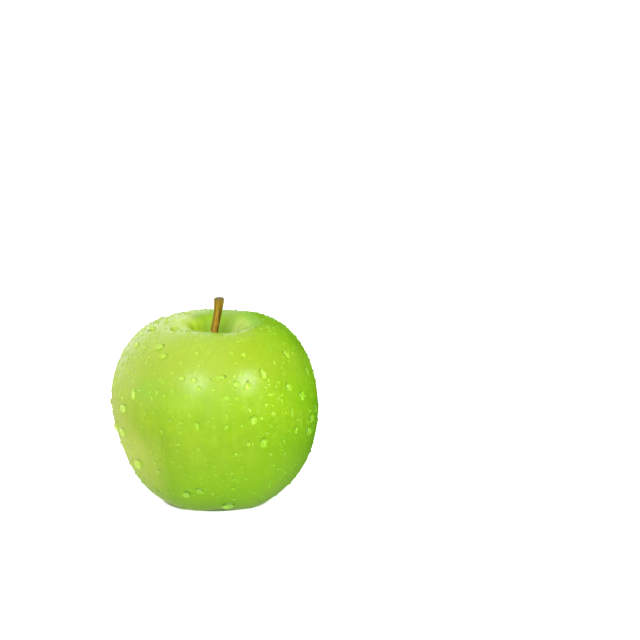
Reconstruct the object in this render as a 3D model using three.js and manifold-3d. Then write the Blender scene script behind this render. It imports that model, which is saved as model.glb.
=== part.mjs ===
// A whole fresh green eating apple, as picked: the fruit, its woody stem, and the dried remains of the
// flower in the basin underneath. Millimetres, +Z up. It stands on five low lobes round that basin, each
// worn to a small flat at Z = 0, and the origin is on that plane, under the middle of its width and depth.
import * as THREE from "three";
import { mergeVertices } from "three/addons/utils/BufferGeometryUtils.js";
import Module from "manifold-3d";

const wasm = await Module();
wasm.setup();

// The fruit's outline, from the axis of the basin up the flank and down the stem cavity.
const fruit = {
  radius: 38.4, // at the widest girth
  girthHeight: 37, // height of the widest girth
  crestHeight: 68.2, // height of the shoulder ring round the stem cavity
  crestRadius: 18,
  footRadius: 17.6, // ring that the lobes stand on
  segments: 60, // a whole number for each of the five lobes
};

// How square each stretch of the outline is: 2 is an ellipse, less is more pointed.
const flankShape = { across: 1.7, up: 1.82 };
const shoulderShape = { across: 1.86, up: 2.08 };

const cavity = {
  depth: 19,
  throatRadius: 1.95,
  socketDepth: 3.2, // of the hole at its bottom that holds the stem
  lip: 13, // how far in from the crest it stays nearly level
  wall: new THREE.Vector2(10.5, 14.5), // from the throat to the handle that opens the wall out
};
const basin = { depth: 9, tubeRadius: 2.6, tubeDepth: 5.5 };

// What makes it a grown thing and not a turned one. Angles are about +Z from +X.
const lobes = {
  count: 5,
  at: THREE.MathUtils.degToRad(-50), // one lobe's middle, at the foot
  valley: 0.7, // how far the foot rises between two lobes
  waist: 0.4, // how far the flank draws in above a valley
  flat: 0.35, // depth worn off each lobe
  shoulderAt: THREE.MathUtils.degToRad(-38),
  shoulder: 0.25, // height of the same five lobes at the shoulder
};
const lean = {
  sway: 0.7, // the middle of the fruit wanders this far along X from foot to crest
  throat: -0.6, // the bottom of the stem cavity is this much further along X
  rim: 1, // and its rim this much
  tip: 0.7, // the crest is this much higher on one side
  tipAt: THREE.MathUtils.degToRad(95),
  oval: 0.012, // the girth is this share out of round
  ovalAt: THREE.MathUtils.degToRad(20),
};

const stem = {
  length: 30.8,
  footRadius: 1.5,
  waistRadius: 1.38,
  headRadius: 1.82,
  clearance: 0.35, // between the stem and its socket
  reach: new THREE.Vector2(2.8, 0.6), // how far its head is from above its foot
  sides: 16,
};

const sepal = { count: 5, length: 5.6, halfWidth: 1.25, halfThickness: 0.28, sides: 10 };
const stamen = { count: 10, ringRadius: 1.25, radius: 0.2, length: 5.2, splay: 0.45 };
const style = { count: 5, ringRadius: 0.26, radius: 0.17, length: 4.4, splay: 0.3 };
const flowerGap = 0.3; // between the dried flower parts and what they grow from

const skin = new THREE.MeshStandardMaterial({ color: 0xa9da3c, roughness: 0.32, metalness: 0 });
const bark = new THREE.MeshStandardMaterial({ color: 0x8a6a24, roughness: 0.75, metalness: 0 });
const driedLeaf = new THREE.MeshStandardMaterial({ color: 0x5a4023, roughness: 0.9, metalness: 0 });
const driedFlower = new THREE.MeshStandardMaterial({ color: 0x3b2614, roughness: 0.9, metalness: 0 });

// The points of a stretch of outline that leaves (r0, z0) level and reaches (r1, z1) upright.
function levelToUpright(r0, z0, r1, z1, shape, steps) {
  const points = [];
  for (let i = 0; i <= steps; i++) {
    const t = (Math.PI / 2) * (i / steps);
    const across = Math.sin(t) ** (2 / shape.across);
    const up = 1 - Math.max(0, Math.cos(t)) ** (2 / shape.up);
    points.push(new THREE.Vector2(r0 + (r1 - r0) * across, z0 + (z1 - z0) * up));
  }
  return points;
}

// The basin's wall from its floor out to the foot ring, level at both ends.
function basinWall(steps) {
  const points = [];
  for (let i = 0; i <= steps; i++) {
    const u = i / steps;
    const r = THREE.MathUtils.lerp(basin.tubeRadius, fruit.footRadius, u);
    points.push(new THREE.Vector2(r, (basin.depth * (1 + Math.cos(Math.PI * u ** 1.1))) / 2));
  }
  return points;
}

function fruitOutline() {
  const tubeTop = basin.depth + basin.tubeDepth;
  const throatHeight = fruit.crestHeight - cavity.depth;
  const tube = [
    new THREE.Vector2(0, tubeTop),
    new THREE.Vector2(basin.tubeRadius * 0.75, tubeTop),
    new THREE.Vector2(basin.tubeRadius, tubeTop - 1),
    new THREE.Vector2(basin.tubeRadius, basin.depth + 1),
  ];
  const foot = [fruit.footRadius, 0];
  const girth = [fruit.radius, fruit.girthHeight];
  const crest = [fruit.crestRadius, fruit.crestHeight];
  const flank = levelToUpright(...foot, ...girth, flankShape, 15);
  const shoulder = levelToUpright(...crest, ...girth, shoulderShape, 13).reverse();
  const wall = new THREE.CubicBezierCurve(
    new THREE.Vector2(...crest),
    new THREE.Vector2(fruit.crestRadius - cavity.lip, fruit.crestHeight),
    new THREE.Vector2(cavity.throatRadius, throatHeight).add(cavity.wall),
    new THREE.Vector2(cavity.throatRadius, throatHeight),
  ).getPoints(15);
  const socket = [
    new THREE.Vector2(cavity.throatRadius, throatHeight - cavity.socketDepth),
    new THREE.Vector2(0, throatHeight - cavity.socketDepth),
  ];
  return [
    ...tube,
    ...basinWall(11),
    ...flank.slice(1),
    ...shoulder.slice(1),
    ...wall.slice(1),
    ...socket,
  ];
}

// A LatheGeometry turns about +Y, and this stands it up along +Z with only its positions left.
function turned(outline, segments) {
  const geometry = new THREE.LatheGeometry(outline, segments);
  geometry.deleteAttribute("normal");
  geometry.deleteAttribute("uv");
  return geometry.rotateX(Math.PI / 2);
}

// Moves each point of a geometry to where place(point) puts it.
function reshape(geometry, place) {
  const position = geometry.getAttribute("position");
  const point = new THREE.Vector3();
  for (let i = 0; i < position.count; i++) {
    place(point.fromBufferAttribute(position, i));
    position.setXYZ(i, point.x, point.y, point.z);
  }
  return geometry;
}

// 1 on a ring of the fruit, fading over reach mm away from it.
function nearRing(r, z, ringRadius, ringHeight, reach) {
  return Math.exp(-(((r - ringRadius) / reach) ** 2) - ((z - ringHeight) / reach) ** 2);
}

// The sideways drift of the fruit's middle line at a height.
function sway(z) {
  return lean.sway * Math.sin((2 * Math.PI * z) / fruit.crestHeight);
}

// What the bottom of the stem cavity and its rim add to that drift.
function cavityDrift(r, z) {
  const throat = Math.exp(-((r / 7) ** 2)) * THREE.MathUtils.smoothstep(z, 30, 45);
  const rim = Math.exp(-(((r - 11) / 4) ** 2)) * THREE.MathUtils.smoothstep(z, 56, 66);
  return lean.throat * throat + lean.rim * rim;
}

// Turns the round body into a grown one. Every change dies away at the axis, so its poles stay closed.
function grow(p) {
  const r = Math.hypot(p.x, p.y);
  const angle = Math.atan2(p.y, p.x);
  const offAxis = 1 - Math.exp(-((r / 5) ** 2));
  const foot = nearRing(r, p.z, fruit.footRadius, 0, 12) * offAxis;
  const crest = nearRing(r, p.z, fruit.crestRadius, fruit.crestHeight, 13) * offAxis;
  const valley = (1 - Math.cos(lobes.count * (angle - lobes.at))) / 2;
  const shoulderWave = Math.cos(lobes.count * (angle - lobes.shoulderAt));
  const oval = 1 + lean.oval * Math.cos(2 * (angle - lean.ovalAt)) * offAxis;
  const radius = r * oval - lobes.waist * valley * foot + 0.4 * lobes.shoulder * shoulderWave * crest;
  const lift = lobes.valley * valley * foot - lobes.flat * foot;
  const rise = (lobes.shoulder * shoulderWave + lean.tip * Math.cos(angle - lean.tipAt)) * crest;
  const drift = sway(p.z) + cavityDrift(r, p.z);
  p.set(radius * Math.cos(angle) + drift, radius * Math.sin(angle), Math.max(0, p.z + lift + rise));
}

function makeFruit() {
  return reshape(turned(fruitOutline(), fruit.segments), grow);
}

// The stem's outline: a foot in the socket, a slim middle and a swollen head that was cut from the twig.
function stemOutline() {
  const middle = new THREE.SplineCurve([
    new THREE.Vector2(stem.footRadius, 1),
    new THREE.Vector2(stem.waistRadius, stem.length * 0.4),
    new THREE.Vector2(THREE.MathUtils.lerp(stem.waistRadius, stem.headRadius, 0.5), stem.length * 0.74),
    new THREE.Vector2(stem.headRadius, stem.length - 0.9),
  ]).getPoints(14);
  return [
    new THREE.Vector2(0, 0),
    new THREE.Vector2(stem.footRadius * 0.7, 0.05),
    ...middle,
    new THREE.Vector2(stem.headRadius * 0.93, stem.length - 0.25),
    new THREE.Vector2(stem.headRadius * 0.6, stem.length),
    new THREE.Vector2(0, stem.length - 0.2),
  ];
}

function makeStem() {
  const throatHeight = fruit.crestHeight - cavity.depth;
  const footHeight = throatHeight - cavity.socketDepth + stem.clearance;
  const footX = sway(throatHeight) + cavityDrift(cavity.throatRadius, throatHeight);
  return reshape(turned(stemOutline(), stem.sides), (p) => {
    const bend = THREE.MathUtils.smoothstep(p.z / stem.length, 0.15, 1);
    p.x += stem.reach.x * bend + footX;
    p.y += stem.reach.y * bend;
    p.z += footHeight;
  });
}

// One dried sepal: a flattened spindle that leans in over the tube and curls out again at its tip.
function makeSepal() {
  const outline = new THREE.SplineCurve([
    new THREE.Vector2(0, 0),
    new THREE.Vector2(0.75, sepal.length * 0.05),
    new THREE.Vector2(1, sepal.length * 0.25),
    new THREE.Vector2(0.8, sepal.length * 0.52),
    new THREE.Vector2(0.42, sepal.length * 0.8),
    new THREE.Vector2(0, sepal.length),
  ]).getPoints(12);
  outline[0].x = 0;
  outline.at(-1).x = 0;
  const spine = new THREE.CatmullRomCurve3([
    new THREE.Vector3(basin.tubeRadius + 1.3, 0, basin.depth - flowerGap - 0.35),
    new THREE.Vector3(basin.tubeRadius + 0.3, 0, basin.depth - 2),
    new THREE.Vector3(basin.tubeRadius - 0.3, 0, basin.depth - 3.8),
    new THREE.Vector3(basin.tubeRadius + 1.2, 0, basin.depth - 5.5),
  ]);
  return reshape(turned(outline, sepal.sides), (p) => {
    const along = THREE.MathUtils.clamp(p.z / sepal.length, 0, 1);
    const middle = spine.getPoint(along);
    const ahead = spine.getTangent(along);
    const through = p.x * sepal.halfThickness;
    p.set(middle.x + through * ahead.z, p.y * sepal.halfWidth, middle.z - through * ahead.x);
  });
}

// A geometry as a manifold-3d solid.
function solidOf(geometry) {
  const merged = mergeVertices(geometry, 1e-4);
  return new wasm.Manifold(
    new wasm.Mesh({
      numProp: 3,
      vertProperties: merged.getAttribute("position").array,
      triVerts: new Uint32Array(merged.index.array),
    }),
  );
}

function geometryOf(solid) {
  const mesh = solid.getMesh();
  return new THREE.BufferGeometry()
    .setAttribute("position", new THREE.BufferAttribute(mesh.vertProperties, 3))
    .setIndex(new THREE.BufferAttribute(mesh.triVerts, 1));
}

// A thin dry thread from (0, 0, 0) down to length, with a knob at its end.
function thread(radius, length) {
  const outline = [
    new THREE.Vector2(0, -length),
    new THREE.Vector2(radius * 1.7, -length + 0.35),
    new THREE.Vector2(radius * 1.1, -length + 0.9),
    new THREE.Vector2(radius, 0),
    new THREE.Vector2(0, 0),
  ];
  return turned(outline, 6);
}

// Threads in a ring round a base disc or ring that joins them in one solid, hanging from its top.
function tuft(parts, baseOutline) {
  let joined = solidOf(turned(baseOutline, 20));
  for (let i = 0; i < parts.count; i++) {
    const hanging = thread(parts.radius, parts.length);
    const turn = (2 * Math.PI * i) / parts.count;
    const reach = 1 + 0.12 * Math.sin(7 * turn);
    reshape(hanging, (p) => {
      const out = parts.ringRadius + (parts.splay * -p.z) / parts.length + p.x;
      const x = out * Math.cos(turn) - p.y * Math.sin(turn);
      const y = out * Math.sin(turn) + p.y * Math.cos(turn);
      p.set(x, y, p.z * reach);
    });
    joined = joined.add(solidOf(hanging));
  }
  return geometryOf(joined);
}

function makeStamens() {
  const inner = stamen.ringRadius - 0.4;
  const outer = stamen.ringRadius + 0.4;
  return tuft(stamen, [
    new THREE.Vector2(inner, -0.5),
    new THREE.Vector2(outer, -0.5),
    new THREE.Vector2(outer, 0.3),
    new THREE.Vector2(inner, 0.3),
    new THREE.Vector2(inner, -0.5),
  ]);
}

function makeStyles() {
  return tuft(style, [
    new THREE.Vector2(0, -1.2),
    new THREE.Vector2(0.42, -1.2),
    new THREE.Vector2(0.42, 0.3),
    new THREE.Vector2(0, 0.3),
  ]);
}

// Named meshes, all in the fruit's own frame.
const whole = new THREE.Group();

function addPart(name, geometry, material) {
  const mesh = new THREE.Mesh(geometry, material);
  mesh.name = name;
  whole.add(mesh);
  return mesh;
}

addPart("fruit", makeFruit(), skin);
addPart("stem", makeStem(), bark);

const flower = new THREE.Group(); // the dried flower stays on the fruit's middle line
flower.position.x = sway(basin.depth);
whole.add(flower);
for (let i = 0; i < sepal.count; i++) {
  const leaf = addPart(`sepal_${i + 1}`, makeSepal(), driedLeaf);
  leaf.rotation.z = lobes.at + (2 * Math.PI * (i + 0.5)) / sepal.count;
  flower.add(leaf);
}
const tubeTop = basin.depth + basin.tubeDepth - flowerGap - 0.3;
for (const [name, geometry] of [["stamens", makeStamens()], ["styles", makeStyles()]]) {
  const threads = addPart(name, geometry, driedFlower);
  threads.position.z = tubeTop;
  flower.add(threads);
}

// Puts the origin under the middle of the whole.
const middle = new THREE.Box3().setFromObject(whole).getCenter(new THREE.Vector3());
whole.position.set(-middle.x, -middle.y, 0);

export default whole;
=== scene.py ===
import itertools
import math
import random

import bpy
from mathutils import Matrix, Vector, noise
from mathutils.bvhtree import BVHTree


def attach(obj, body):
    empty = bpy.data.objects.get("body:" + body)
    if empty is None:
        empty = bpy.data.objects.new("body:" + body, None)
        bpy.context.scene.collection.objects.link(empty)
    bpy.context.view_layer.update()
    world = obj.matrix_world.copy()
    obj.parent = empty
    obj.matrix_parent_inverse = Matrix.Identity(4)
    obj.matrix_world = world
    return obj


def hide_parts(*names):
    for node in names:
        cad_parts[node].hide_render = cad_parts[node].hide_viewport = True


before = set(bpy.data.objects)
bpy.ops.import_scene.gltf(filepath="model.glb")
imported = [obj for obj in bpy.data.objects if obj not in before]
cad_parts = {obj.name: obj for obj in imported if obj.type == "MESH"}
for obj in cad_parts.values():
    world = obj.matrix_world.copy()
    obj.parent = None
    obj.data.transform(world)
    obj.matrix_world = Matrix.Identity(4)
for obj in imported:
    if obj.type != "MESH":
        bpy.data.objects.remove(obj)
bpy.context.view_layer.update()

mm = 0.001
white = (1, 1, 1, 1)
black = (0, 0, 0, 1)


# Working on a piece.
def onlySelect(*pieces):
    if bpy.context.object and bpy.context.object.mode != "OBJECT":
        bpy.ops.object.mode_set(mode="OBJECT")
    bpy.ops.object.select_all(action="DESELECT")
    for piece in pieces:
        piece.select_set(True)
    if pieces:
        bpy.context.view_layer.objects.active = pieces[0]


def editAll(piece, kind="VERT"):
    onlySelect(piece)
    bpy.ops.object.mode_set(mode="EDIT")
    bpy.ops.mesh.select_mode(type=kind)
    bpy.ops.mesh.select_all(action="SELECT")


def doneEditing():
    bpy.ops.object.mode_set(mode="OBJECT")


def mendNormals(piece):
    editAll(piece)
    bpy.ops.mesh.normals_make_consistent(inside=False)
    doneEditing()


def smoothOut(piece, levels):
    modifier = piece.modifiers.new("smooth", "SUBSURF")
    modifier.levels = modifier.render_levels = levels
    onlySelect(piece)
    bpy.ops.object.modifier_apply(modifier="smooth")


def shadeSmooth(piece):
    onlySelect(piece)
    bpy.ops.object.shade_smooth()


def linkNew(name, data):
    piece = bpy.data.objects.new(name, data)
    bpy.context.scene.collection.objects.link(piece)
    return piece


# A clean copy of a node of the frame, its triangles merged and turned back to quads.
def copyOfNode(node, name):
    doublesWithin = 0.002 * mm
    quadAngle = math.radians(60)
    piece = linkNew(name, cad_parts[node].data.copy())
    piece.data.materials.clear()
    onlySelect(piece)
    bpy.ops.mesh.customdata_custom_splitnormals_clear()
    editAll(piece)
    bpy.ops.mesh.remove_doubles(threshold=doublesWithin)
    bpy.ops.mesh.tris_convert_to_quads(face_threshold=quadAngle, shape_threshold=quadAngle)
    bpy.ops.mesh.normals_make_consistent(inside=False)
    doneEditing()
    return piece


# Moves every point along its normal by depth(place), which is in metres.
def swell(piece, depth):
    places = [v.co + v.normal * depth(v.co) for v in piece.data.vertices]
    for vertex, place in zip(piece.data.vertices, places):
        vertex.co = place
    piece.data.update()


# Puts a copy of shape at each matrix, every copy with its own mesh, and joins them in one piece.
def scatter(name, pairs):
    first = linkNew(name, bpy.data.meshes.new(name))
    copies = []
    for shape, matrix in pairs:
        copy = linkNew(name, shape.data.copy())
        copy.matrix_world = matrix
        copies.append(copy)
    onlySelect(first, *copies)
    bpy.ops.object.join()
    shadeSmooth(first)
    return first


def removeShapes(*shapes):
    for shape in shapes:
        bpy.data.objects.remove(shape)


# Axes for a thing that stands on a surface: z out of it, y uphill along it, turned by lean about z.
def standOn(place, normal, lean=0.0, size=(1, 1, 1)):
    side = Vector((0, 0, 1)).cross(normal)
    if side.length < 0.001:  # the surface is level, so no way is uphill
        side = Vector((1, 0, 0))
    side.normalize()
    uphill = normal.cross(side)
    axes = Matrix((side, uphill, normal)).transposed().to_4x4()
    turn = Matrix.Rotation(lean, 4, "Z")
    return Matrix.Translation(place) @ axes @ turn @ Matrix.Diagonal((*size, 1))


# Shader maths.
def plug(tree, value, target):
    if isinstance(value, Wire):
        tree.links.new(value.socket, target)
    else:
        target.default_value = value


# A node of any kind: its settings first, then its sockets' values or wires, and the outputs asked for.
def addNode(tree, kind, settings=None, sockets=None, give=0):
    node = tree.nodes.new(kind)
    for key, value in (settings or {}).items():
        setattr(node, key, value)
    for key, value in (sockets or {}).items():
        plug(tree, value, node.inputs[key])
    if isinstance(give, tuple):
        return [Wire(tree, node.outputs[name]) for name in give]
    return Wire(tree, node.outputs[give])


# A socket that reads as a number in an expression, and adds a Math node for each operation.
class Wire:
    def __init__(self, tree, socket):
        self.tree = tree
        self.socket = socket

    def math(self, operation, first, second):
        return addNode(self.tree, "ShaderNodeMath", {"operation": operation}, {0: first, 1: second})

    def __add__(self, other):
        return self.math("ADD", self, other)

    def __sub__(self, other):
        return self.math("SUBTRACT", self, other)

    def __rsub__(self, other):
        return self.math("SUBTRACT", other, self)

    def __mul__(self, other):
        return self.math("MULTIPLY", self, other)

    def __truediv__(self, other):
        return self.math("DIVIDE", self, other)

    def __pow__(self, other):
        return self.math("POWER", self, other)

    __radd__ = __add__
    __rmul__ = __mul__

    # 0 at low, 1 at high and smooth between them, even where low is the larger number.
    def between(self, low, high):
        settings = {"interpolation_type": "SMOOTHSTEP"}
        sockets = {"Value": self, "From Min": low, "From Max": high}
        return addNode(self.tree, "ShaderNodeMapRange", settings, sockets, "Result")


class Nodes:
    def __init__(self, tree):
        self.tree = tree

    def node(self, kind, settings=None, sockets=None, give=0):
        return addNode(self.tree, kind, settings, sockets, give)

    def place(self):
        return self.node("ShaderNodeTexCoord", give="Object")

    def written(self, name):
        return self.node("ShaderNodeAttribute", {"attribute_name": name}, give="Fac")

    def parts(self, vector):
        return self.node("ShaderNodeSeparateXYZ", sockets={"Vector": vector}, give=("X", "Y", "Z"))

    def join(self, x, y, z):
        return self.node("ShaderNodeCombineXYZ", sockets={"X": x, "Y": y, "Z": z})

    # A space for patterns that run along z: across and along say how fine they are each way.
    def drawnOut(self, x, y, z, across, along):
        return self.join(x * across, y * across, z * along)

    def farFrom(self, vector, spot):
        return self.node("ShaderNodeVectorMath", {"operation": "DISTANCE"}, {0: vector, 1: spot}, "Value")

    def noise(self, vector, scale, detail=3.0, roughness=0.5):
        sockets = {"Vector": vector, "Scale": scale, "Detail": detail, "Roughness": roughness}
        return self.node("ShaderNodeTexNoise", sockets=sockets, give="Fac")

    # The node's colour sockets are its seventh, its eighth and the third that it gives.
    def mix(self, share, first, second):
        return self.node("ShaderNodeMix", {"data_type": "RGBA"}, {0: share, 6: first, 7: second}, 2)

    def bump(self, height, distance, strength):
        sockets = {"Height": height, "Distance": distance, "Strength": strength}
        return self.node("ShaderNodeBump", sockets=sockets)


# A material of a piece: constants go on the shader's own sockets, and feed plugs in what varies.
class Finish(Nodes):
    def __init__(self, name, piece, **constants):
        self.piece = piece
        self.material = bpy.data.materials.new(name)
        self.material.use_nodes = True
        super().__init__(self.material.node_tree)
        self.shader = self.tree.nodes["Principled BSDF"]
        self.feed(**constants)

    def feed(self, **sockets):
        for key, value in sockets.items():
            plug(self.tree, value, self.shader.inputs[key.replace("_", " ")])
        return self.material

    # Lays one of the piece's colours over a tone, as strongly as the piece's cover says.
    def lay(self, tone, share, cover, colour=None):
        return self.mix(share * self.piece["cover"][cover], tone, self.piece[colour or cover])


# An sRGB colour out of 255 as the linear one that a socket takes.
def rgb(red, green, blue):
    def linear(c):
        c = c / 255
        return c / 12.92 if c <= 0.04045 else ((c + 0.055) / 1.055) ** 2.4

    return (linear(red), linear(green), linear(blue), 1.0)


# A long lens a little above the fruit, looking along +Y.
view = {
    "elevation": math.radians(14),
    "distance": 900 * mm,
    "aim": Vector((0, 0, 35 * mm)),
    "spot": (214.5, 406.5),  # where the aim lands in the picture, in pixels across and down
    "picture": 640,  # the picture's width and height in pixels
    "lens": 134.5,
    "sensor": 36,
    "nearest": 10 * mm,
}


# The camera, with the right, up and forward directions that it has while it looks straight at the aim.
def makeCamera():
    middle = view["picture"] / 2
    toward = Vector((0, math.cos(view["elevation"]), -math.sin(view["elevation"])))
    eye = view["aim"] - toward * view["distance"]
    metresPerPixel = view["distance"] * view["sensor"] / view["lens"] / view["picture"]
    right = Vector((1, 0, 0))
    up = right.cross(toward)
    target = view["aim"] + right * (middle - view["spot"][0]) * metresPerPixel
    target += up * (view["spot"][1] - middle) * metresPerPixel
    data = bpy.data.cameras.new("camera")
    data.lens = view["lens"]
    data.sensor_width = view["sensor"]
    data.clip_start = view["nearest"]
    camera = linkNew("camera", data)
    camera.location = eye
    camera.rotation_euler = (target - eye).to_track_quat("-Z", "Y").to_euler()
    bpy.context.scene.camera = camera
    return camera, (right, up, toward)


# The direction from the camera through a place in the picture, in pixels across and down.
def sightLine(camera, across, down):
    pixel = view["sensor"] / view["picture"]
    middle = view["picture"] / 2
    line = Vector(((across - middle) * pixel, (middle - down) * pixel, -view["lens"]))
    line.rotate(camera.rotation_euler)
    return line.normalized()


camera, cameraAxes = makeCamera()


# The skin.
skin = {
    "swell": 0.16 * mm,  # how far the flesh bulges and hollows under the skin
    "swellSize": 17 * mm,
    "fineSize": 0.37,  # the finer bulges are this share of that size
    "fineSwell": 0.35,  # and this share as high
    "calm": 6 * mm,  # the swelling grows from nothing at the foot to all of it at this height
    "cavityFrom": 45 * mm,  # height above which the skin near the axis is in the stem cavity
    "furrow": 0.35 * mm,  # of the furrows that run down the stem cavity
    "furrowAt": 7 * mm,  # from the axis, and how far they reach to either side of that
    "furrowReach": 5 * mm,
    "furrowTurns": 2.2,
    "dip": 0.75 * mm,  # how far the near lip of the cavity sinks
    "dipAt": 12.5 * mm,
    "dipReach": 5 * mm,
    "fresh": rgb(148, 182, 29),  # the main green
    # a deeper green: in clouds and patches, and as painted shade behind the shoulder and on the cavity's far
    # wall
    "deep": rgb(110, 156, 14),
    "pale": rgb(168, 190, 74),
    "crown": rgb(146, 168, 36),  # yellower, over the shoulder
    "paintedSheenLeft": rgb(174, 188, 82),  # painted sheen: the left side paler and yellower, for the reflection of the bright room
    "paintedSheenLowLeft": rgb(197, 214, 99),  # more painted sheen, low on that side
    "shade": rgb(108, 178, 6),  # painted shade and green bounce light on the right side, and the green of the blotches
    "hollow": rgb(162, 192, 24),  # inside the stem cavity
    # darker green: in the cavity's furrows, and as painted shade in its throat
    "furrowed": rgb(84, 138, 4),
    # a pale painted reflection along the cavity's left lip
    "lip": rgb(206, 213, 122),
    "paintedLightRightWall": rgb(190, 200, 130),  # painted light on the cavity's right wall
    # painted light on the cavity's left wall
    "paintedLightLeftWall": rgb(200, 226, 62),
    "paintedShadeFoot": rgb(134, 192, 20),  # painted shade round the foot, a less red, deeper green
    "pore": rgb(190, 208, 120),
    "cork": rgb(122, 98, 42),  # where the stem and the flower join the skin
    "speck": rgb(46, 40, 14),
    "gloss": 0.27,
    "peel": 0.03 * mm,  # height of the fine relief
    "blotches": ((147, 383, 9 * mm), (262, 345, 8 * mm)),  # greener clouds: across, down, half their width
    "specks": (  # dark specks: across and down the picture, and half their width
        (247.8, 381, 0.45 * mm), (158.2, 490.8, 0.44 * mm), (259.6, 501.4, 0.4 * mm),
        (148.6, 330.6, 0.85 * mm),
    ),
    # How fine each pattern is, in cells to the metre.
    "scale": {
        "clouds": 34.0, "patches": 170.0, "pores": 330.0, "poreGroups": 140.0, "ragged": 2600.0,
        "peel": 260.0, "wax": 900.0,
    },
    # The patterns that run down the fruit: how fine round it, up it and all over.
    "streaks": (7.0, 30.0, 1.9),
    "furrows": (4.0, 20.0, 1.6),
    "rays": (3.0, 60.0, 2.4),
    # How strongly each tone covers what is under it.
    "cover": {
        "clouds": 0.3, "streaks": 0.24, "patches": 0.3, "shade": 0.8, "paintedSheenLeft": 0.7, "paintedSheenLowLeft": 0.7,
        "blotch": 0.4, "crown": 0.9, "hollow": 0.8, "paintedLightRightWall": 0.45, "back": 0.7, "furrows": 0.5,
        "ridges": 0.12, "throat": 0.5, "paintedLightLeftWall": 0.55, "paintedShadeFarWall": 0.55, "paintedSheenLip": 0.5, "paintedShadeFoot": 0.8,
        "cork": 0.75, "pore": 0.3, "speck": 0.85,
    },
    # Where a tone sets in and where it is full: up from the table, out from the axis, or along X.
    "zone": {
        "shadeUp": (8 * mm, 30 * mm), "paintedSheenLeftUp": (3 * mm, 15 * mm), "paintedSheenLowLeftUp": (42 * mm, 22 * mm),
        "crownUp": (44 * mm, 60 * mm), "cavityUp": (40 * mm, 50 * mm), "cavityOut": (13.5 * mm, 9 * mm),
        "paintedLightRightWallAlong": (3 * mm, 8 * mm), "throatOut": (7.5 * mm, 3 * mm),
        "backTowards": (3 * mm, 20 * mm), "backUp": (50 * mm, 60 * mm),
        "backSpared": ((2 * mm, 6 * mm), (16 * mm, 11 * mm)),  # a stretch with less of the painted shade, from and to
        "paintedLightLeftWallOut": (11.5 * mm, 9 * mm), "paintedShadeFarWallOut": (14.8 * mm, 11.8 * mm),
        "paintedSheenLipOut": ((8.2 * mm, 10.8 * mm), (19.5 * mm, 12.5 * mm)), "paintedSheenLipUp": (50 * mm, 58 * mm),
        "rightLipOut": ((8.5 * mm, 11 * mm), (18.5 * mm, 14.5 * mm)), "rightLipAlong": (2 * mm, 9 * mm),
        "footUp": (30 * mm, 4 * mm), "stemOut": (6.5 * mm, 2.2 * mm), "stemUp": (36 * mm, 42 * mm),
        "flowerOut": (9.5 * mm, 3 * mm), "flowerUp": (30 * mm, 20 * mm),
    },
}


def makeSkin():
    piece = copyOfNode("fruit", "skin")
    smoothOut(piece, 2)

    def bulge(place):
        soft = noise.noise(place / skin["swellSize"])
        fine = noise.noise(place / (skin["swellSize"] * skin["fineSize"]) + Vector((3, 1, 7)))
        offGround = min(1.0, place.z / skin["calm"])
        depth = skin["swell"] * offGround * (soft + skin["fineSwell"] * fine)
        if place.z > skin["cavityFrom"]:
            across = math.hypot(place.x, place.y)
            inside = max(0.0, 1 - abs(across - skin["furrowAt"]) / skin["furrowReach"])
            ring = Vector((place.x, place.y, 0)).normalized() * skin["furrowTurns"]
            depth += skin["furrow"] * inside * noise.noise(ring + Vector((5, 2, 0)))
            near = max(0.0, -place.y) / across
            depth -= skin["dip"] * near * math.exp(-(((across - skin["dipAt"]) / skin["dipReach"]) ** 2))
        return depth

    swell(piece, bulge)
    shadeSmooth(piece)
    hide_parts("fruit")
    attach(piece, "root")
    print("skin:", len(piece.data.polygons), "faces")
    return piece


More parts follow.
